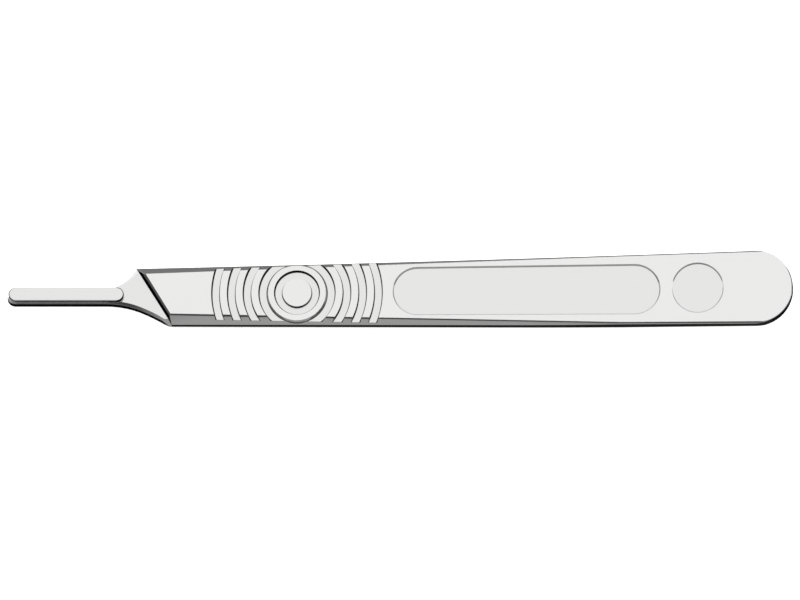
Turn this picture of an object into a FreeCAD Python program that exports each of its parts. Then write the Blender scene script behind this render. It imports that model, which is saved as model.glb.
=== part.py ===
import FreeCAD, Part
import math
import os

# Scalpel handle, one solid, in millimetres.
# While it is drawn, X runs from the tip of the tang to the rounded end,
# Y = 0 is the middle line of the tang and Z = 0 is the flat back face.

LENGTH = 125.0

# flat body, thick at the neck and thin at the rounded end
NECK_THICKNESS = 3.65
END_THICKNESS = 2.0
NECK_TOP_Y = 4.38
NECK_BOTTOM_Y = -4.81
TOP_EDGE_BOW = 0.3
BOTTOM_BEND_X = 88.0
BOTTOM_BEND_Y = -4.885
BOTTOM_BEND_REACH = 8.0
END_RADIUS = 6.02
END_CENTRE_Y = 1.48
END_TOP_TURN = 2.3
END_BOTTOM_TURN = 0.65
EDGE_BREAK = 0.15

# long bevels on the four long edges, wider on the front than on the back;
# a narrow crest of a lower slope joins the low front one to the face
BEVEL_START_X = 26.0
FRONT_BEVEL_WIDTH = 1.27
BACK_BEVEL_WIDTH = 0.66
BEVEL_TURN_X = 98.0
BEVEL_END_X = 119.0
BEVEL_END_WIDTH = 0.3
LOW_BEVEL_END_WIDTH = 0.22
BEVEL_STEEPNESS = 1.24
CREST_WIDTH = 0.15
CREST_END_WIDTH = 0.08
CREST_STEEPNESS = 0.6

# slanted shoulder, where the body steps down to the web
SHOULDER_X = 23.29
SHOULDER_LEAN = 32.0
SHOULDER_DRAFT = 0.31
SHOULDER_CHAMFER = 0.33

# web plate and the lower part of the tang
PLATE_BOTTOM_Z = 0.15
PLATE_TOP_Z = 2.1
PLATE_EDGE_RUN = 0.4
PLATE_EDGE_DROP = 0.35
PLATE_FLANK_RUN = 0.46
PLATE_CORNER_BACK = 0.2
CORNER_FACET_Y = -3.88
TANG_HALF_WIDTH = 1.3
WEB_TOP_X = 20.53
WEB_TOP_FLARE_X = 16.9
WEB_TOP_FLARE_MID = (18.9, 2.44)
WEB_LOW_FLARE_X = 15.5
WEB_LOW_FLARE_MID = (19.1, -1.68)
WEB_LOW_FLARE_END = (22.2, -2.77)
WEB_LOW_SIDE_MID = (24.1, -3.72)
WEB_LOW_X = 25.9
WEB_HEEL_X = 26.9
WEB_HEEL_INSET = 0.03
WEB_ROOT_X = 31.0

# raised land with the grooves the blade slides in
LAND_START_X = 0.3
LAND_END_X = 18.6
LAND_WIDTH = 2.24
LAND_TOP_Z = 2.94
LAND_CHAMFER = 0.12
BLADE_GROOVE_HEIGHT = 0.48
BLADE_GROOVE_DEPTH = 0.38
BLADE_GROOVE_END_X = 16.2

# finger grip: a target disc with ring-shaped grooves round it
GRIP_X = 46.2
GRIP_Y = 0.14
BOSS_RADIUS = 2.3
DISH_RADIUS = 3.66
DISH_DEPTH = 0.6
COIN_RADIUS = 4.6
COIN_FOOT_RADIUS = 4.85
COIN_FOOT_DEPTH = 1.35
FIRST_RIB_RADIUS = 6.13
RIB_PITCH = 2.5
RIB_WIDTH = 1.14
RIB_COUNT = 3
GROOVE_DEPTH = 0.7
WALL_DRAFT = 0.12

# shallow panel with rounded ends, on both faces
PANEL_DEPTH = 0.25
PANEL_FRONT_X = 65.37
PANEL_FRONT_Y = 0.475
PANEL_FRONT_RADIUS = 3.87
PANEL_REAR_X = 99.85
PANEL_REAR_Y = 0.95
PANEL_REAR_RADIUS = 4.05
PANEL_WALL_RUN = 0.22

# round dimple behind the panel, on the front face only
DIMPLE_X = 109.9
DIMPLE_Y = 1.25
DIMPLE_RADIUS = 4.15
DIMPLE_DEPTH = 0.2
DIMPLE_WALL_RUN = 0.2

# how far a cutting shape reaches past the surface it cuts
PAST = 2.0

# a face that leans less than this many degrees is the front or the back
MOST_FACE_LEAN = 25.0

END_CENTRE_X = LENGTH - END_RADIUS
TAPER = (NECK_THICKNESS - END_THICKNESS) / (LENGTH - SHOULDER_X)
TAPER_ANGLE = math.degrees(math.atan(TAPER))


def thickness(x):
    return NECK_THICKNESS - TAPER * (x - SHOULDER_X)


def point(x, y, z=0.0):
    return FreeCAD.Vector(x, y, z)


def on_circle(cx, cy, radius, degrees):
    angle = math.radians(degrees)
    return point(cx + radius * math.cos(angle), cy + radius * math.sin(angle))


def line(a, b):
    return Part.LineSegment(a, b).toShape()


def arc(a, b, c):
    return Part.Arc(a, b, c).toShape()


def polygon_face(points):
    return Part.Face(Part.makePolygon(points + [points[0]]))


def raised(wire, z):
    copy = wire.copy()
    copy.translate(point(0, 0, z))
    return copy


def blend_arc(before, corner, after, reach):
    # the arc that rounds a corner and touches both lines at the same reach
    back = (before - corner).normalize()
    ahead = (after - corner).normalize()
    start = corner + back * reach
    end = corner + ahead * reach
    half_turn = back.getAngle(ahead) / 2
    radius = reach * math.tan(half_turn)
    middle_way = (back + ahead).normalize()
    depth = reach / math.cos(half_turn) - radius
    return start, corner + middle_way * depth, end


def body_outline():
    # plan of the body, carried forward past the shoulder line, its upper
    # edge bowed in a little between the neck and the end
    front_x = SHOULDER_X - PAST * 3
    top_start = point(front_x, NECK_TOP_Y)
    top_end = on_circle(END_CENTRE_X, END_CENTRE_Y, END_RADIUS, 90 + END_TOP_TURN)
    top_middle = (top_start + top_end) * 0.5 - point(0, TOP_EDGE_BOW)
    tip = point(LENGTH, END_CENTRE_Y)
    low_end = on_circle(END_CENTRE_X, END_CENTRE_Y, END_RADIUS, END_BOTTOM_TURN - 90)
    bend = point(BOTTOM_BEND_X, BOTTOM_BEND_Y)
    low_start = point(front_x, NECK_BOTTOM_Y)
    b1, b2, b3 = blend_arc(low_end, bend, low_start, BOTTOM_BEND_REACH)
    edges = [
        arc(top_start, top_middle, top_end),
        arc(top_end, tip, low_end),
        line(low_end, b1),
        arc(b1, b2, b3),
        line(b3, low_start),
        line(low_start, top_start),
    ]
    return Part.Wire(edges)


def tapered_slab():
    # outline with a flat back and a front face that sinks towards the end
    solid = Part.Face(body_outline()).extrude(point(0, 0, NECK_THICKNESS + PAST))
    half = LENGTH
    low_x = -PAST
    high_x = LENGTH + PAST
    side = [
        point(low_x, -half, thickness(low_x)),
        point(high_x, -half, thickness(high_x)),
        point(high_x, -half, NECK_THICKNESS + 2 * PAST),
        point(low_x, -half, NECK_THICKNESS + 2 * PAST),
    ]
    above = polygon_face(side).extrude(point(0, 2 * half, 0))
    return solid.cut(above)


def rim_edges(solid):
    # the long edges of the front and back faces
    found = []
    for face in solid.Faces:
        if abs(face.normalAt(0, 0).z) < math.cos(math.radians(MOST_FACE_LEAN)):
            continue
        for edge in face.Edges:
            if edge.BoundBox.XLength > 2 * EDGE_BREAK:
                found.append(edge)
    return found


def break_edges(solid):
    # the small even rounding of the front and back faces' edges
    return solid.makeFillet(EDGE_BREAK, rim_edges(solid))


def beyond_plane(a, b, c, outward):
    # a block that covers everything on the outward side of a plane
    normal = (b - a).cross(c - a).normalize()
    if normal.dot(outward) < 0:
        normal = normal * -1
    along = (b - a).normalize()
    across = normal.cross(along)
    middle = (a + b) * 0.5
    far = along * LENGTH
    wide = across * PAST * 3
    corners = [
        middle - far - wide,
        middle + far - wide,
        middle + far + wide,
        middle - far + wide,
    ]
    return polygon_face(corners).extrude(normal * PAST * 2)


def edge_height(outline, x, top_side):
    # where the outline crosses one station along the body
    probe = line(point(x, -LENGTH), point(x, LENGTH))
    crossing = outline.distToShape(probe)
    heights = [pair[0].y for pair in crossing[1]]
    return max(heights) if top_side else min(heights)


def flat_bevel(outline, out, up, steepness, start, end):
    # a flat cut along one edge: start and end each give a station and a width
    points = []
    for x, width in (start, end):
        y = edge_height(outline, x, out > 0)
        z = thickness(x) if up > 0 else 0.0
        points.append(point(x, y - out * width, z))
        points.append(point(x, y, z - up * width * steepness))
    return beyond_plane(points[0], points[2], points[1], point(0, out, up))


def bevelled_edge(body, out, up, steepness, neck_width, end_width):
    # one long edge: a flat that narrows, then a thin one to the rounded end
    outline = body_outline()
    neck = (BEVEL_START_X, neck_width)
    turn = (BEVEL_TURN_X, end_width)
    rear = (BEVEL_END_X, end_width)
    body = body.cut(flat_bevel(outline, out, up, steepness, neck, turn))
    return body.cut(flat_bevel(outline, out, up, steepness, turn, rear))


def cut_long_bevels(body):
    neck_width = FRONT_BEVEL_WIDTH
    low_end = LOW_BEVEL_END_WIDTH
    crest_neck = neck_width + CREST_WIDTH
    crest_end = low_end + CREST_END_WIDTH
    for out in (1, -1):
        body = bevelled_edge(body, out, -1, BEVEL_STEEPNESS, BACK_BEVEL_WIDTH, BEVEL_END_WIDTH)
    body = bevelled_edge(body, 1, 1, BEVEL_STEEPNESS, neck_width, BEVEL_END_WIDTH)
    body = bevelled_edge(body, -1, 1, BEVEL_STEEPNESS, neck_width, low_end)
    return bevelled_edge(body, -1, 1, CREST_STEEPNESS, crest_neck, crest_end)


def shoulder_cutter():
    # everything in front of the slanted shoulder, seen along its line
    run = SHOULDER_DRAFT
    lip = SHOULDER_CHAMFER
    high = NECK_THICKNESS + PAST
    ahead = -PAST * 6
    profile = [
        point(ahead, 0, -PAST),
        point(PLATE_BOTTOM_Z + PAST, 0, -PAST),
        point(0, 0, PLATE_BOTTOM_Z),
        point(0, 0, PLATE_TOP_Z),
        point(run, 0, NECK_THICKNESS - lip),
        point(run + lip + PAST, 0, high),
        point(ahead, 0, high),
    ]
    half = PAST * 6
    cutter = polygon_face(profile).extrude(point(0, 2 * half, 0))
    cutter.translate(point(0, -half, 0))
    cutter.rotate(point(0, 0), point(0, 0, 1), SHOULDER_LEAN)
    cutter.translate(point(SHOULDER_X, 0, 0))
    return cutter


def plate_outline(inset, flank_inset, corner_back):
    # plan of the web and the lower part of the tang, drawn smaller by inset,
    # and by amounts of their own at the low flank and corner of the web
    half = TANG_HALF_WIDTH - inset
    tip_x = TANG_HALF_WIDTH
    outline = body_outline()
    root_top = edge_height(outline, WEB_TOP_X, True) - inset
    root_low = NECK_BOTTOM_Y + WEB_HEEL_INSET + flank_inset
    top_flare = point(WEB_TOP_FLARE_X, half)
    corner_top = point(WEB_TOP_X + inset, root_top)
    inside_top = point(WEB_ROOT_X, 0)
    heel = point(WEB_HEEL_X, root_low)
    corner_low = point(WEB_LOW_X - corner_back, root_low)
    low_side = point(WEB_LOW_SIDE_MID[0], WEB_LOW_SIDE_MID[1] + flank_inset)
    low_end = point(WEB_LOW_FLARE_END[0], WEB_LOW_FLARE_END[1] + flank_inset)
    low_mid = point(WEB_LOW_FLARE_MID[0], WEB_LOW_FLARE_MID[1] + flank_inset)
    low_flare = point(WEB_LOW_FLARE_X, -half)
    slant = inset * math.sin(math.radians(45))
    top_mid = point(WEB_TOP_FLARE_MID[0] + slant, WEB_TOP_FLARE_MID[1] - slant)
    edges = [
        arc(point(tip_x, half), point(tip_x - half, 0), point(tip_x, -half)),
        line(point(tip_x, -half), low_flare),
        arc(low_flare, low_mid, low_end),
        arc(low_end, low_side, corner_low),
        line(corner_low, heel),
        line(heel, inside_top),
        line(inside_top, corner_top),
        arc(corner_top, top_mid, top_flare),
        line(top_flare, point(tip_x, half)),
    ]
    return Part.Wire(edges)


def web_plate():
    # straight sides with a forged slope round the upper edge
    slope_z = PLATE_TOP_Z - PLATE_EDGE_DROP
    wide = plate_outline(0.0, 0.0, 0.0)
    narrow = plate_outline(PLATE_EDGE_RUN, PLATE_FLANK_RUN, PLATE_CORNER_BACK)
    lower = Part.Face(raised(wide, PLATE_BOTTOM_Z)).extrude(point(0, 0, slope_z - PLATE_BOTTOM_Z))
    upper = Part.makeLoft([raised(wide, slope_z), raised(narrow, PLATE_TOP_Z)], True, True)
    plate = lower.fuse(upper).removeSplitter()
    return plate.cut(corner_facet())


def corner_facet():
    # what the facet at the plate's low corner takes off, as steep as the bevels
    near = point(0, CORNER_FACET_Y, PLATE_TOP_Z)
    far = point(LENGTH, CORNER_FACET_Y, PLATE_TOP_Z)
    foot = near + point(0, -1, -BEVEL_STEEPNESS)
    return beyond_plane(near, far, foot, point(0, -1, 1))


def slot_outline(start_x, end_x, width, z):
    # a long shape with two half-round ends
    half = width / 2
    a = start_x + half
    b = end_x - half
    edges = [
        line(point(a, -half, z), point(b, -half, z)),
        arc(point(b, -half, z), point(end_x, 0, z), point(b, half, z)),
        line(point(b, half, z), point(a, half, z)),
        arc(point(a, half, z), point(start_x, 0, z), point(a, -half, z)),
    ]
    return Part.Wire(edges)


def blade_land():
    # the raised land, with a chamfered top edge
    straight_z = LAND_TOP_Z - LAND_CHAMFER
    wide = slot_outline(LAND_START_X, LAND_END_X, LAND_WIDTH, PLATE_BOTTOM_Z)
    post = Part.Face(wide).extrude(point(0, 0, straight_z - PLATE_BOTTOM_Z))
    foot = slot_outline(LAND_START_X, LAND_END_X, LAND_WIDTH, straight_z)
    lid = slot_outline(
        LAND_START_X + LAND_CHAMFER,
        LAND_END_X - LAND_CHAMFER,
        LAND_WIDTH - 2 * LAND_CHAMFER,
        LAND_TOP_Z,
    )
    return post.fuse(Part.makeLoft([foot, lid], True, True))


def blade_groove():
    # the undercut round the front and both sides of the land
    outer_x = LAND_START_X - PAST
    outer_w = LAND_WIDTH + 2 * PAST
    inner_x = LAND_START_X + BLADE_GROOVE_DEPTH
    inner_w = LAND_WIDTH - 2 * BLADE_GROOVE_DEPTH
    rear = BLADE_GROOVE_END_X + outer_w / 2
    up = point(0, 0, BLADE_GROOVE_HEIGHT)
    outer = Part.Face(slot_outline(outer_x, rear, outer_w, PLATE_TOP_Z)).extrude(up)
    inner = Part.Face(slot_outline(inner_x, LAND_END_X, inner_w, PLATE_TOP_Z)).extrude(up)
    block_x = rear - BLADE_GROOVE_END_X
    block = Part.makeBox(block_x, outer_w, up.z, point(BLADE_GROOVE_END_X, -outer_w / 2, PLATE_TOP_Z))
    return outer.cut(block).cut(inner)


def turned(profile):
    # a ring or disc turned round the local Z axis from a half section
    points = [point(r, 0, z) for r, z in profile]
    return polygon_face(points).revolve(point(0, 0), point(0, 0, 1), 360)


def ring_cutter(inner, outer, depth, inner_run, outer_run):
    # a ring-shaped groove with sloping walls, cut down from local Z = 0
    lift = PAST / depth
    return turned([
        (inner + inner_run, -depth),
        (outer - outer_run, -depth),
        (outer + outer_run * lift, PAST),
        (max(inner - inner_run * lift, 0.0), PAST),
    ])


def grip_grooves():
    cutters = []
    rib = FIRST_RIB_RADIUS
    first = ring_cutter(0.0, rib, GROOVE_DEPTH, 0.0, WALL_DRAFT)
    cutters.append(first)
    for index in range(RIB_COUNT):
        inner = rib + index * RIB_PITCH + RIB_WIDTH
        outer = rib + (index + 1) * RIB_PITCH
        cutters.append(ring_cutter(inner, outer, GROOVE_DEPTH, WALL_DRAFT, WALL_DRAFT))
    return cutters


def target_coin():
    # the disc that stands in the middle, with its dished ring and boss
    coin = turned([
        (0.0, -COIN_FOOT_DEPTH),
        (COIN_FOOT_RADIUS, -COIN_FOOT_DEPTH),
        (COIN_FOOT_RADIUS, -GROOVE_DEPTH),
        (COIN_RADIUS, 0.0),
        (0.0, 0.0),
    ])
    dish = ring_cutter(BOSS_RADIUS, DISH_RADIUS, DISH_DEPTH, WALL_DRAFT, WALL_DRAFT)
    return coin.cut(dish)


def on_front(shape, x, y):
    # moves a local shape onto the sinking front face
    placed = shape.copy()
    placed.rotate(point(0, 0), point(0, 1, 0), TAPER_ANGLE)
    placed.translate(point(x, y, thickness(x)))
    return placed


def on_back(shape, x, y):
    # turns a local shape over onto the flat back face
    placed = shape.mirror(point(0, 0), point(0, 0, 1))
    placed.translate(point(x, y, 0))
    return placed


def add_grip(body):
    for place in (on_front, on_back):
        for cutter in grip_grooves():
            body = body.cut(place(cutter, GRIP_X, GRIP_Y))
        body = body.fuse(place(target_coin(), GRIP_X, GRIP_Y))
    return body


def panel_outline(grow, z):
    # two circles of different size joined by the lines that touch both
    rear_dx = PANEL_REAR_X - PANEL_FRONT_X
    rear_dy = PANEL_REAR_Y - PANEL_FRONT_Y
    gap = math.hypot(rear_dx, rear_dy)
    heading = math.degrees(math.atan2(rear_dy, rear_dx))
    spread = math.degrees(math.acos((PANEL_FRONT_RADIUS - PANEL_REAR_RADIUS) / gap))
    r1 = PANEL_FRONT_RADIUS + grow
    r2 = PANEL_REAR_RADIUS + grow
    up = heading + spread
    down = heading - spread
    front_up = on_circle(0, 0, r1, up)
    front_mid = on_circle(0, 0, r1, heading + 180)
    front_down = on_circle(0, 0, r1, down)
    rear_up = on_circle(rear_dx, rear_dy, r2, up)
    rear_mid = on_circle(rear_dx, rear_dy, r2, heading)
    rear_down = on_circle(rear_dx, rear_dy, r2, down)
    wire = Part.Wire([
        arc(front_up, front_mid, front_down),
        line(front_down, rear_down),
        arc(rear_down, rear_mid, rear_up),
        line(rear_up, front_up),
    ])
    return raised(wire, z)


def panel_cutter():
    # shallow pocket whose walls slope outwards as they rise
    half_run = PANEL_WALL_RUN / 2
    rise = half_run + PANEL_WALL_RUN * PAST / PANEL_DEPTH
    floor = panel_outline(-half_run, -PANEL_DEPTH)
    above = panel_outline(rise, PAST)
    return Part.makeLoft([floor, above], True, True)


def dimple_cutter():
    return ring_cutter(0.0, DIMPLE_RADIUS, DIMPLE_DEPTH, 0.0, DIMPLE_WALL_RUN)


def add_recesses(body):
    body = body.cut(on_front(panel_cutter(), PANEL_FRONT_X, PANEL_FRONT_Y))
    body = body.cut(on_back(panel_cutter(), PANEL_FRONT_X, PANEL_FRONT_Y))
    return body.cut(on_front(dimple_cutter(), DIMPLE_X, DIMPLE_Y))


def scalpel_handle():
    body = break_edges(tapered_slab()).cut(shoulder_cutter())
    body = cut_long_bevels(body.fuse(web_plate()))
    body = add_recesses(add_grip(body))
    land = blade_land().cut(blade_groove())
    handle = body.fuse(land).removeSplitter()
    # the origin is under the middle of the handle, on its flat back face
    box = handle.optimalBoundingBox()
    handle.translate(point(-(box.XMin + box.XMax) / 2, -(box.YMin + box.YMax) / 2, -box.ZMin))
    return handle


os.makedirs("parts", exist_ok=True)
handle = scalpel_handle()
handle.exportStep("parts/handle.step")
print("valid", handle.isValid(), "solids", len(handle.Solids), "faces", len(handle.Faces))
print("bounds", handle.optimalBoundingBox())
print("volume cm3", handle.Volume / 1000.0)
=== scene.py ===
# %% [markdown]
# # A steel scalpel handle
#
# This lesson dresses one small forged tool for a product picture. The solid
# comes from CAD, so its tang, grip and bevels are already real shapes. What is
# left for Blender is the metal itself, the light and the camera.

# %% Load the solid
import math

import bmesh
import bpy
from mathutils import Matrix, Vector


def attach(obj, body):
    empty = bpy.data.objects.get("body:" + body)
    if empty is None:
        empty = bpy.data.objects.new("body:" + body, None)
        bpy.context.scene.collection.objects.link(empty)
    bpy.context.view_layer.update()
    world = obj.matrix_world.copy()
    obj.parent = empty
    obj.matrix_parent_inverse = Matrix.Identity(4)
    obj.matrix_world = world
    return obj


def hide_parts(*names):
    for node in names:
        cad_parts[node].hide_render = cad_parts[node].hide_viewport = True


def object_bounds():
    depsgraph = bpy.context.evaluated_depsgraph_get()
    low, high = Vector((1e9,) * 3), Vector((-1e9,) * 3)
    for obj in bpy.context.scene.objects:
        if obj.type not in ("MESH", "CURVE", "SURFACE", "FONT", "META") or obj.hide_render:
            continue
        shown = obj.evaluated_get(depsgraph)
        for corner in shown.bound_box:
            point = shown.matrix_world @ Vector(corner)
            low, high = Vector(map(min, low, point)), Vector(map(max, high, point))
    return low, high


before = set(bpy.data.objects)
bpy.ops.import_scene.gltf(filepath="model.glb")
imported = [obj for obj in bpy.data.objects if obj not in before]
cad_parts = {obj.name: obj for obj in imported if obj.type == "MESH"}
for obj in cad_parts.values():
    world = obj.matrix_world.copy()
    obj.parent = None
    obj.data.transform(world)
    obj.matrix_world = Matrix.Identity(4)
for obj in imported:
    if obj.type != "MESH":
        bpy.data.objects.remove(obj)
cad_low, cad_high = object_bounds()
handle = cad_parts["handle"]
scene = bpy.context.scene
MM = 0.001
print("solid", handle.name, "faces", len(handle.data.polygons))
print("size in mm", [round((high - low) / MM, 2) for low, high in zip(cad_low, cad_high)])

# %% [markdown]
# ## The sizes that the finish needs
#
# The finish changes from place to place: the broad faces are buffed, the
# struck recesses are a little duller, and the turned grip carries fine rings.
# To know where a point lies, the material needs the same few sizes that the
# drawing has. Masks painted by hand could tell it too, but they would have to
# be painted again after each change to the drawing. The sizes are millimetres
# in the frame, whose origin is under the middle of the handle.

# %% Sizes from the drawing
TIP_X = cad_low[0] / MM
REAR_X = cad_high[0] / MM
MIDDLE_Y = 1.311

NECK_X = TIP_X + 23.3
SHOULDER_END_X = NECK_X + 4.0
NECK_THICKNESS = 3.65
END_THICKNESS = 2.0
TAPER = (NECK_THICKNESS - END_THICKNESS) / (REAR_X - NECK_X)
FACE_HALF_WIDTH = 4.5

GRIP_X = TIP_X + 46.2
GRIP_Y = 0.14 - MIDDLE_Y
GRIP_HALF_WIDTH = 4.1
GRIP_REACH = 13.8
COIN_RADIUS = 4.6
GROOVE_PITCH = 2.5
GROOVE_START = 0.45
GROOVE_DEPTH = 0.7
PANEL_DEPTH = 0.25

LAND_END_X = TIP_X + 18.6
LAND_HALF_WIDTH = 1.1
LAND_TOP = 2.94
PLATE_TOP = 2.1

END_RADIUS = 6.02
END_X = REAR_X - END_RADIUS
END_Y = 1.48 - MIDDLE_Y
print("the front face drops", round(TAPER * 1000, 1), "microns in each millimetre")

# %% [markdown]
# ## One closed skin
#
# The solid arrives as loose triangles, which is how CAD hands over a mesh. Light
# slides over steel in long gradients, so a copy of it is joined at its edges and
# shaded smooth wherever two triangles belong to the same face. Creases stay
# sharp. Modelling the skin anew would also work, but it could only be less true
# than the drawing.

# %% Join the skin
CREASE = math.radians(22)
JOIN_WITHIN = 0.0005 * MM


def joined_copy(source, name):
    """A copy of a solid in which triangles share their corners."""
    mesh = source.data.copy()
    mesh.transform(source.matrix_world)
    skin = bmesh.new()
    skin.from_mesh(mesh)
    bmesh.ops.remove_doubles(skin, verts=skin.verts, dist=JOIN_WITHIN)
    for edge in skin.edges:
        edge.smooth = len(edge.link_faces) == 2 and edge.calc_face_angle() < CREASE
    for face in skin.faces:
        face.smooth = True
    skin.to_mesh(mesh)
    print("open edges:", sum(1 for edge in skin.edges if len(edge.link_faces) != 2))
    skin.free()
    piece = bpy.data.objects.new(name, mesh)
    scene.collection.objects.link(piece)
    return piece


steel = joined_copy(handle, "handle_steel")
print("joined skin has", len(steel.data.vertices), "corners")

# %% [markdown]
# ## Broad faces lead
#
# On the real tool the wheel keeps each broad face flat and bends the metal only
# at the narrow roundings. Plain smooth shading would let the roundings pull the
# faces out of true. Weighted normals let the broad faces lead, and cost less
# than extra loops of faces beside every edge.


# %% Weigh the skin by area
def keep_modifiers(piece):
    """Turn what the modifiers make into the piece's own mesh."""
    bpy.context.view_layer.update()
    graph = bpy.context.evaluated_depsgraph_get()
    finished = piece.evaluated_get(graph)
    mesh = bpy.data.meshes.new_from_object(finished, preserve_all_data_layers=True, depsgraph=graph)
    piece.modifiers.clear()
    piece.data = mesh


weights = steel.modifiers.new("broad_faces_lead", "WEIGHTED_NORMAL")
weights.keep_sharp = True
weights.weight = 90
keep_modifiers(steel)
print("weighted skin has", len(steel.data.polygons), "faces")

# %% [markdown]
# ## A small language for shaders
#
# A finish is easier to read as a sum than as a web of links. One class wraps a
# socket, and its operators add the Math nodes. A soft step, which is 0 on one
# side of a limit and 1 on the other, says where a part of the handle starts.


# %% The socket class
class Value:
    """A socket that can be used in a sum."""

    def __init__(self, paint, socket):
        self.paint = paint
        self.socket = socket

    def __add__(self, other):
        return self.paint.math("ADD", self, other)

    def __radd__(self, other):
        return self.paint.math("ADD", other, self)

    def __sub__(self, other):
        return self.paint.math("SUBTRACT", self, other)

    def __rsub__(self, other):
        return self.paint.math("SUBTRACT", other, self)

    def __mul__(self, other):
        return self.paint.math("MULTIPLY", self, other)

    def __rmul__(self, other):
        return self.paint.math("MULTIPLY", other, self)

    def __truediv__(self, other):
        return self.paint.math("DIVIDE", self, other)

    def __rtruediv__(self, other):
        return self.paint.math("DIVIDE", other, self)

    def __pow__(self, power):
        return self.paint.math("POWER", self, power)

    def __rpow__(self, base):
        return self.paint.math("POWER", base, self)

    def __abs__(self):
        return self.paint.math("ABSOLUTE", self)

    def above(self, limit, soft):
        """0 below the limit and 1 above it, with a soft step between."""
        return self.paint.math("MULTIPLY_ADD", self, 1.0 / soft, 0.5 - limit / soft, clamp=True)

    def below(self, limit, soft):
        """1 below the limit and 0 above it."""
        return self.paint.math("MULTIPLY_ADD", self, -1.0 / soft, 0.5 + limit / soft, clamp=True)

    def between(self, low, high, soft):
        """1 from the low limit to the high one, and 0 on both sides."""
        return self.above(low, soft) * self.below(high, soft)


print("a socket can now stand in a sum")

# %% [markdown]
# ## The node method
#
# Everything that is not plain arithmetic goes through one method, which takes
# the kind of node, its settings and the values or links of its sockets. The
# other methods are only short names for nodes that come up often.


# %% Nodes by name
def grey(brightness):
    """A colour with no hue."""
    return brightness, brightness, brightness, 1.0


def set_stops(band, stops):
    """Give a ramp its greys, from a list of (place, brightness)."""
    for stop in stops[1:-1]:
        band.elements.new(stop[0])
    for element, (place, brightness) in zip(band.elements, stops):
        element.position = place
        element.color = grey(brightness)


class Paint:
    """Adds nodes to one tree and wraps what they give."""

    def __init__(self, tree):
        self.tree = tree
        tree.nodes.clear()

    def node(self, kind, settings=None, inputs=None, output=0):
        made = self.tree.nodes.new(kind)
        for key, value in (settings or {}).items():
            if key == "stops":
                set_stops(made.color_ramp, value)
            else:
                setattr(made, key, value)
        for key, value in (inputs or {}).items():
            if isinstance(value, Value):
                self.tree.links.new(value.socket, made.inputs[key])
            else:
                made.inputs[key].default_value = value
        return Value(self, made.outputs[output]) if made.outputs else None

    def math(self, operation, *terms, clamp=False):
        settings = {"operation": operation, "use_clamp": clamp}
        return self.node("ShaderNodeMath", settings, dict(enumerate(terms)))

    def axes(self, vector):
        """The three numbers in a vector."""
        split = self.node("ShaderNodeSeparateXYZ", inputs={0: vector}).socket.node
        return [Value(self, number) for number in split.outputs]

    def stretched(self, vector, scale):
        """A vector with each axis scaled, to stretch a pattern."""
        return self.node("ShaderNodeVectorMath", {"operation": "MULTIPLY"}, {0: vector, 1: scale})

    def noise(self, vector, scale, detail, roughness):
        inputs = {"Vector": vector, "Scale": scale, "Detail": detail, "Roughness": roughness}
        return self.node("ShaderNodeTexNoise", inputs=inputs)

    def mix(self, amount, low, high):
        """A colour between two others; 6, 7 and 2 are the Mix node's colour sockets."""
        settings = {"data_type": "RGBA", "clamp_factor": True}
        return self.node("ShaderNodeMix", settings, {0: amount, 6: low, 7: high}, output=2)


print("the shader words are ready")

# %% [markdown]
# ## Where a point lies
#
# A maker knows each part of the handle by touch. The material has only the
# place of a point and the way the skin faces there. A few measures are needed
# again and again, so one class takes them all: how far out from the grip's
# centre the point lies, how deep it is under the nearer broad face, and whether
# the skin there is flat or stands up as a wall.


# %% Measures of a point
class Spot:
    """A point of the skin, in millimetres, and the way it faces."""

    def __init__(self, paint):
        self.place = paint.node("ShaderNodeTexCoord", output="Object")
        self.x, self.y, self.z = [number / MM for number in paint.axes(self.place)]
        facing = paint.node("ShaderNodeTexCoord", output="Normal")
        self.facing_x, self.facing_y, self.facing_z = paint.axes(facing)
        self.from_grip = self.distance(GRIP_X, GRIP_Y)
        self.from_rear = self.distance(END_X, END_Y)
        self.sunk = (NECK_THICKNESS + TAPER * NECK_X) - self.x * TAPER - self.z
        self.depth = paint.math("MINIMUM", self.sunk, self.z)
        self.flat = abs(self.facing_z).above(0.4, 0.3)
        self.struck = self.depth.above(0.1, 0.06) * self.flat

    def distance(self, x, y):
        """How far the point lies from a centre, seen from above."""
        return ((self.x - x) * (self.x - x) + (self.y - y) * (self.y - y)) ** 0.5


print("points are measured from the grip at x", round(GRIP_X, 2), "and the rear at x", round(END_X, 2))

# %% [markdown]
# ## What the polish reaches, and painted wall shade
#
# The real handle is struck from stainless bar, then ground, tumbled with small
# stones and buffed. One plain grey would look like plastic. The broad faces, the
# outer sides and the near side of the coin keep the bright buffed tone. The steep
# walls of the grooves and the other walls get painted shade, a dark grey in the
# colour, and the coin's own side gets a little less of it. The struck floors keep
# a slightly duller skin. Slow clouds stand for the uneven hand of the polisher.

# %% Buffed and struck steel, with painted wall shade
BUFFED = (0.77, 0.768, 0.765, 1.0)
CLOUDED = (0.72, 0.718, 0.715, 1.0)
STRUCK = (0.73, 0.728, 0.725, 1.0)
# painted shade: the dark grey that steep walls are given in the colour
PAINTED_WALL_SHADE = grey(0.11)
# how much of the painted wall shade is taken off the coin's side
COIN_SIDE_UNSHADED = 0.22
CLOUD_SCALE = 170.0
CLOUD_AMOUNT = 0.35


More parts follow.
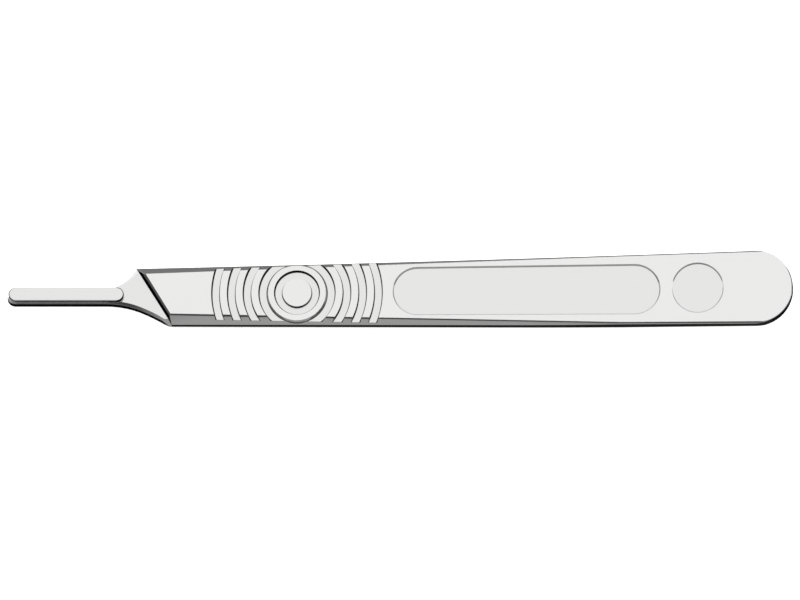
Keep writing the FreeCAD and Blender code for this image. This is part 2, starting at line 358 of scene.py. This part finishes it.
def tone_with_wall_shade(paint, spot):
    """The steel's own tone, with painted shade on the walls, before the corners are shaded."""
    outer_side = spot.sunk.above(GROOVE_DEPTH + 0.2, 0.1) * spot.x.above(SHOULDER_END_X, 0.5)
    coin_front = spot.y.below(GRIP_Y - GRIP_HALF_WIDTH, 0.1)
    coin_side = spot.from_grip.between(COIN_RADIUS - 0.1, COIN_RADIUS + 0.3, 0.05)
    unshaded = spot.flat + outer_side + coin_front + COIN_SIDE_UNSHADED * coin_side
    # painted shade: skin that is not flat, outer or on the coin's front takes the dark wall grey
    walls = paint.mix(unshaded, PAINTED_WALL_SHADE, BUFFED)
    floors = paint.mix(spot.struck, walls, STRUCK)
    clouds = paint.noise(spot.place, CLOUD_SCALE, 3.0, 0.5)
    return paint.mix(CLOUD_AMOUNT * clouds.above(0.5, 0.8), floors, CLOUDED)


print("buffed steel keeps", BUFFED[0], "of the light and a dark wall", PAINTED_WALL_SHADE[0])

# %% [markdown]
# ## Painted shade in the turned corners
#
# The grip is turned: a disc with rings cut round it at one even pitch. Each ring
# is edged with a fine dark line of painted shade, where shade falls into the
# corners of a groove, most of all on its outer side. Ambient occlusion could find
# such corners, but it is slow and grainy on small parts. As the rings share one
# centre, the distance from it, wrapped at the pitch, gives every line at once.

# %% Painted corner shade
# painted shade: the dark grey of the line in each turned corner
PAINTED_CORNER_SHADE = grey(0.05)
INNER_STRENGTH = 0.7
LINE_EDGE = 0.06
OUTER_CORNER = (0.5, 0.7)
INNER_CORNER = (-0.7, -0.56)


def with_painted_corner_shade(paint, spot, tone):
    """The tone with a dark line of painted shade in each turned corner."""
    out = spot.from_grip
    across = paint.math("WRAP", out - GROOVE_START, GROOVE_PITCH / 2, -GROOVE_PITCH / 2)
    outer = across.between(*OUTER_CORNER, LINE_EDGE)
    inner = across.between(*INNER_CORNER, LINE_EDGE) * out.above(COIN_RADIUS - 1.0, 0.2)
    coin_rim = out.between(COIN_RADIUS - 0.14, COIN_RADIUS + 0.1, 0.04)
    coin_top = coin_rim * spot.y.above(GRIP_Y + GRIP_HALF_WIDTH, 0.5)
    cut = out.above(COIN_RADIUS / 3, 0.2) * out.below(GRIP_REACH, 0.1)
    cut = cut * spot.depth.below(GROOVE_DEPTH + 0.04, 0.04)
    line = (outer + INNER_STRENGTH * (inner + coin_top)) * cut
    return paint.mix(line, tone, PAINTED_CORNER_SHADE)


print("a line for each", GROOVE_PITCH, "mm, out to", GRIP_REACH, "mm from the centre")

# %% [markdown]
# ## The shaded shoulder
#
# The shoulder drops from the body to the web, and the land that holds a blade
# stands on the tang. Their steep walls, and the rims at the land's round ends, are
# painted nearly black as painted shade. The chamfer on top of the shoulder gets a
# lighter share of the same painted shade. A darker light in front could do the
# same, but it would darken the bevels too.

# %% Front walls
# painted shade: near black for the shoulder and land walls and, more lightly, the chamfer
PAINTED_FRONT_SHADE = grey(0.02)
WALL_SHADE = 0.9
CHAMFER_SHADE = 0.7


def with_front_shade(paint, spot, tone):
    """The tone with the walls of the shoulder and the land darkened."""
    in_front = spot.x.below(SHOULDER_END_X, 0.5)
    wall = spot.flat.below(0.5, 0.2) * in_front * spot.z.above(PLATE_TOP, 0.05)
    chamfer = abs(spot.facing_x).above(0.5, 0.1) * spot.flat * in_front * spot.z.above(LAND_TOP, 0.05)
    land_rim = abs(spot.facing_z).below(0.85, 0.1) * spot.x.below(LAND_END_X + 0.3, 0.1)
    land_rim = land_rim * spot.z.above(PLATE_TOP + 0.1, 0.05)
    round_ends = spot.x.above(LAND_END_X - LAND_HALF_WIDTH, 0.2) + spot.x.below(TIP_X + 1.0, 0.4)
    shade = WALL_SHADE * wall + CHAMFER_SHADE * chamfer + land_rim * round_ends
    return paint.mix(shade, tone, PAINTED_FRONT_SHADE)


print("the shoulder runs from x", round(NECK_X, 1), "to", round(SHOULDER_END_X, 1), "mm")

# %% [markdown]
# ## Painted shade on the rear end
#
# The rounded end is broken by a small rounding, and a dark grey line of painted
# shade is laid on it round the end, for the dark edge that the rounding shows. It
# fades out where the rounding runs into the long edges. A separate material on
# those faces would end with a hard step, and a mask from the end's own centre
# fades as the real one does.

# %% Rear rounding
# painted shade: the dark grey line on the rear rounding
REAR_PAINTED_SHADE = grey(0.14)
ROUNDING_WIDTH = 0.17


def with_rear_painted_shade(paint, spot, tone):
    """The tone with painted shade on the rounding at the rear."""
    rim = spot.from_rear.above(END_RADIUS - ROUNDING_WIDTH, 0.04) * spot.x.above(END_X + 2.0, 1.5)
    fading = spot.y.above(END_Y - 1.0, 2.0) * spot.y.below(END_Y + 3.2, 1.2)
    return paint.mix(rim * fading, tone, REAR_PAINTED_SHADE)


print("the rounding is", ROUNDING_WIDTH, "mm wide")

# %% [markdown]
# ## Painted highlights on the near walls
#
# The panel and the dimple are struck lightly. The wall on the near side of each,
# which leans back towards the light, is given a painted highlight, a near-white
# colour. So is the small slope at the tip of the tang.

# %% Painted highlights
# painted highlight: the near-white colour of the near walls and the tip slope
PAINTED_HIGHLIGHT = grey(0.98)
TIP_SLOPE_LENGTH = 1.6
TIP_SLOPE_FOOT = 1.5


def with_painted_highlights(paint, spot, tone):
    """The tone with a painted highlight on the near recess walls and on the tip slope."""
    recess = spot.depth.below(PANEL_DEPTH + 0.05, 0.05) * spot.x.above(GRIP_X + GRIP_REACH, 1.0)
    near_wall = spot.facing_y.above(0.4, 0.3) * recess * spot.y.below(FACE_HALF_WIDTH, 0.2)
    tip_slope = spot.x.below(TIP_X + TIP_SLOPE_LENGTH, 0.5) * spot.z.above(TIP_SLOPE_FOOT, 0.1)
    tip_slope = tip_slope * spot.z.below(PLATE_TOP + 0.02, 0.02)
    return paint.mix((near_wall + tip_slope) * spot.flat, tone, PAINTED_HIGHLIGHT)


print("light walls start behind x", round(GRIP_X + GRIP_REACH, 1), "mm")

# %% [markdown]
# ## The grain
#
# The stones leave marks in every direction, the wheel leaves long ones along
# the handle, and the turning tool leaves rings on the coin of the grip. All are
# far too fine to be modelled, and a photo of steel would repeat over so long a
# piece. Noise does neither: stretched along one axis it is a wheel mark, and
# read from the distance to a centre alone it is a ring.

# %% The grain
STONE_SCALE = 5200.0
WHEEL_SCALE = (260.0, 7000.0, 7000.0)
RINGS_PER_MM = 14.0


def grain(paint, spot):
    """The marks of the stones, of the wheel and of the turning tool."""
    stones = paint.noise(spot.place, STONE_SCALE, 4.0, 0.6)
    wheel = paint.noise(paint.stretched(spot.place, WHEEL_SCALE), 1.0, 3.0, 0.55)
    rings = paint.node("ShaderNodeTexNoise", {"noise_dimensions": "1D"},
                       {"W": RINGS_PER_MM * spot.from_grip, "Detail": 2.0})
    return stones, wheel, rings * spot.from_grip.below(COIN_RADIUS, 0.1) * spot.flat


print("about", RINGS_PER_MM, "rings in each millimetre of the coin")

# %% [markdown]
# ## Satin stainless steel
#
# Now the tone and the grain come together. The marks mostly change how sharply
# the metal mirrors, and a weak bump gives them a trace of depth. The Bevel node
# rounds each sharp edge by a tenth of a millimetre in the shading alone, which
# is how a tumbled edge catches the light. The edge tint darkens what the metal
# mirrors at a grazing angle, so the walls do not flare.

# %% The finished steel
EDGE_TINT = grey(0.3)
TUMBLED_EDGE = 0.1 * MM
MARK_DEPTH = 0.02 * MM
MARK_STRENGTH = 0.12
SMOOTHEST = 0.11


def satin_steel():
    """The finish of the whole handle."""
    material = bpy.data.materials.new("satin_steel")
    material.use_nodes = True
    paint = Paint(material.node_tree)
    spot = Spot(paint)
    # the tone carries painted shade and painted highlights as well as the steel's own colour
    tone = tone_with_wall_shade(paint, spot)
    tone = with_painted_corner_shade(paint, spot, tone)
    tone = with_front_shade(paint, spot, tone)
    tone = with_rear_painted_shade(paint, spot, tone)
    tone = with_painted_highlights(paint, spot, tone)
    stones, wheel, rings = grain(paint, spot)
    roughness = SMOOTHEST + 0.06 * stones + 0.04 * wheel + 0.03 * spot.struck + 0.03 * rings
    edge = paint.node("ShaderNodeBevel", {"samples": 6}, {"Radius": TUMBLED_EDGE})
    marks = 0.6 * stones + 0.5 * wheel + 0.5 * rings
    bump = paint.node("ShaderNodeBump", inputs={
        "Strength": MARK_STRENGTH, "Distance": MARK_DEPTH, "Height": marks, "Normal": edge})
    metal = paint.node("ShaderNodeBsdfPrincipled", inputs={
        "Base Color": tone, "Metallic": 1.0, "Roughness": roughness, "Normal": bump,
        "Specular Tint": EDGE_TINT})
    paint.node("ShaderNodeOutputMaterial", inputs={"Surface": metal})
    return material


steel.data.materials.clear()
steel.data.materials.append(satin_steel())
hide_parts("handle")
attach(steel, "root")
print("steel nodes:", len(steel.data.materials[0].node_tree.nodes))

# %% [markdown]
# ## The table
#
# A pale paper sweep carries the handle. It is far larger than the tool, so its
# edges never show, and it keeps a trace of paper grain so that it is not a
# perfect void. A little glow keeps it white beside the bright steel. It lies a
# hair under the handle, so that the two skins do not fight, and it is hidden
# from mirrored rays, so that the lower bevels show the studio alone.

# %% Paper floor
PAPER_DARK = grey(0.90)
PAPER_LIGHT = grey(0.93)
PAPER_GLOW = 0.8
FIBRE_SCALE = 900.0
FLOOR_HALF = 3.0
FLOOR_Z = -0.1 * MM


def pale_paper():
    """A matt white sheet with a faint grain."""
    material = bpy.data.materials.new("pale_paper")
    material.use_nodes = True
    paint = Paint(material.node_tree)
    place = paint.node("ShaderNodeTexCoord", output="Object")
    tone = paint.mix(paint.noise(place, FIBRE_SCALE, 4.0, 0.6), PAPER_DARK, PAPER_LIGHT)
    matt = paint.node("ShaderNodeBsdfPrincipled", inputs={
        "Base Color": tone, "Roughness": 0.9, "Specular IOR Level": 0.1,
        "Emission Color": tone, "Emission Strength": PAPER_GLOW})
    paint.node("ShaderNodeOutputMaterial", inputs={"Surface": matt})
    return material


floor_mesh = bpy.data.meshes.new("floor")
corners = [(side * FLOOR_HALF, depth * FLOOR_HALF, FLOOR_Z)
           for side, depth in ((-1, -1), (1, -1), (1, 1), (-1, 1))]
floor_mesh.from_pydata(corners, [], [(0, 1, 2, 3)])
floor_mesh.materials.append(pale_paper())
floor = bpy.data.objects.new("floor", floor_mesh)
floor.visible_glossy = False
scene.collection.objects.link(floor)
print("floor is", 2 * FLOOR_HALF, "m across")

# %% [markdown]
# ## Light
#
# Steel shows its surroundings, so the surroundings are the real subject. The
# studio is a bright ceiling that comes down low behind the handle. In front
# stands a grey wall, with a dark gap between it and the ceiling, and at the
# front corners the grey fades down into darkness. Broad faces show the ceiling
# and turn bright, bevels show the wall and turn grey, and an edge that faces
# the front sweeps past the dark gap, which draws it as a thin dark line. Lamps
# could light a matt thing, but a mirror needs something to show, so the studio
# is painted on the sky as three columns of brightness, from straight down to
# straight up.

# %% Studio surroundings
FRONT_COLUMN = [(0.0, 0.02), (0.04, 0.03), (0.10, 0.34), (0.53, 0.40), (0.62, 0.34),
                (0.70, 0.05), (0.93, 0.05), (0.97, 1.0), (1.0, 1.0)]
CORNER_COLUMN = [(0.0, 0.01), (0.20, 0.08), (0.45, 0.28), (0.90, 0.36), (0.95, 1.0), (1.0, 1.0)]
BACK_COLUMN = [(0.0, 0.02), (0.10, 0.20), (0.31, 0.25), (0.36, 1.1), (0.6, 1.15), (0.8, 1.0), (1.0, 1.0)]
STUDIO_STRENGTH = 1.09

world = bpy.data.worlds.new("studio")
world.use_nodes = True
scene.world = world
sky = Paint(world.node_tree)
right, back, up = sky.axes(sky.node("ShaderNodeTexCoord", output="Generated"))
height = 0.5 * up + 0.5
frontness = -1.0 * back / (right * right + back * back) ** 0.5
front_light, corner_light, back_light = [
    sky.node("ShaderNodeValToRGB", {"stops": column}, {0: height})
    for column in (FRONT_COLUMN, CORNER_COLUMN, BACK_COLUMN)]
sides = sky.mix(frontness.above(0.0, 0.08), back_light, corner_light)
studio = sky.mix(frontness.above(0.78, 0.2), sides, front_light)
background = sky.node("ShaderNodeBackground", inputs={"Color": studio, "Strength": STUDIO_STRENGTH})
sky.node("ShaderNodeOutputWorld", inputs={"Surface": background})
print("studio nodes:", len(world.node_tree.nodes))

# %% [markdown]
# ## A lamp for the paper
#
# A matt sheet and a mirror need different amounts of light, so the paper has a
# wide soft lamp of its own. It stands behind the handle, high up, and the steel
# does not mirror it.

# %% Lamp for the paper
LAMP_PLACE = Vector((0.1, 0.35, 1.6))
LAMP_WIDTH = 1.6
LAMP_POWER = 14.0

disc = bpy.data.lights.new("paper_lamp", "AREA")
disc.shape = "DISK"
disc.size = LAMP_WIDTH
disc.energy = LAMP_POWER
disc.specular_factor = 0.0
lamp = bpy.data.objects.new("paper_lamp", disc)
lamp.location = LAMP_PLACE
lamp.rotation_euler = LAMP_PLACE.to_track_quat("Z", "Y").to_euler()
lamp.visible_glossy = False
scene.collection.objects.link(lamp)
print("the lamp is", round(LAMP_PLACE.length, 2), "m from the handle")

# %% [markdown]
# ## Camera
#
# The picture is a long-lens product shot. The lines of the handle stay parallel,
# so an orthographic camera is the honest choice. It looks down from 16 degrees
# in front of the vertical, and from 3 degrees past the rounded end, which shows
# a thin line of the end wall.

# %% Camera
PICTURE_PIXELS = 800
PIXELS_PER_MM = 6.293
MM_ACROSS = PICTURE_PIXELS / PIXELS_PER_MM
AIM_RIGHT = -0.08 * MM
AIM_UP = -1.40 * MM
EYE_DISTANCE = 0.6

towards_eye = Vector((0.052, -0.2756, 0.96)).normalized()
picture_up = Vector((0.0, towards_eye.z, -towards_eye.y)).normalized()
picture_right = picture_up.cross(towards_eye)
eye = picture_right * AIM_RIGHT + picture_up * AIM_UP + towards_eye * EYE_DISTANCE

lens = bpy.data.cameras.new("camera")
lens.type = "ORTHO"
lens.ortho_scale = MM_ACROSS * MM
lens.clip_end = 20.0
camera = bpy.data.objects.new("camera", lens)
turn = Matrix((picture_right, picture_up, towards_eye)).transposed().to_4x4()
camera.matrix_world = Matrix.Translation(eye) @ turn
scene.collection.objects.link(camera)
scene.camera = camera
scene.view_settings.view_transform = "Standard"
print("picture is", round(MM_ACROSS, 1), "mm wide")

# %% [markdown]
# ## A last update
#
# The view layer is updated once more, so that every piece stands where it was set.
# The dressed model must stay inside the box of the solid.

# %% Last update
bpy.context.view_layer.update()
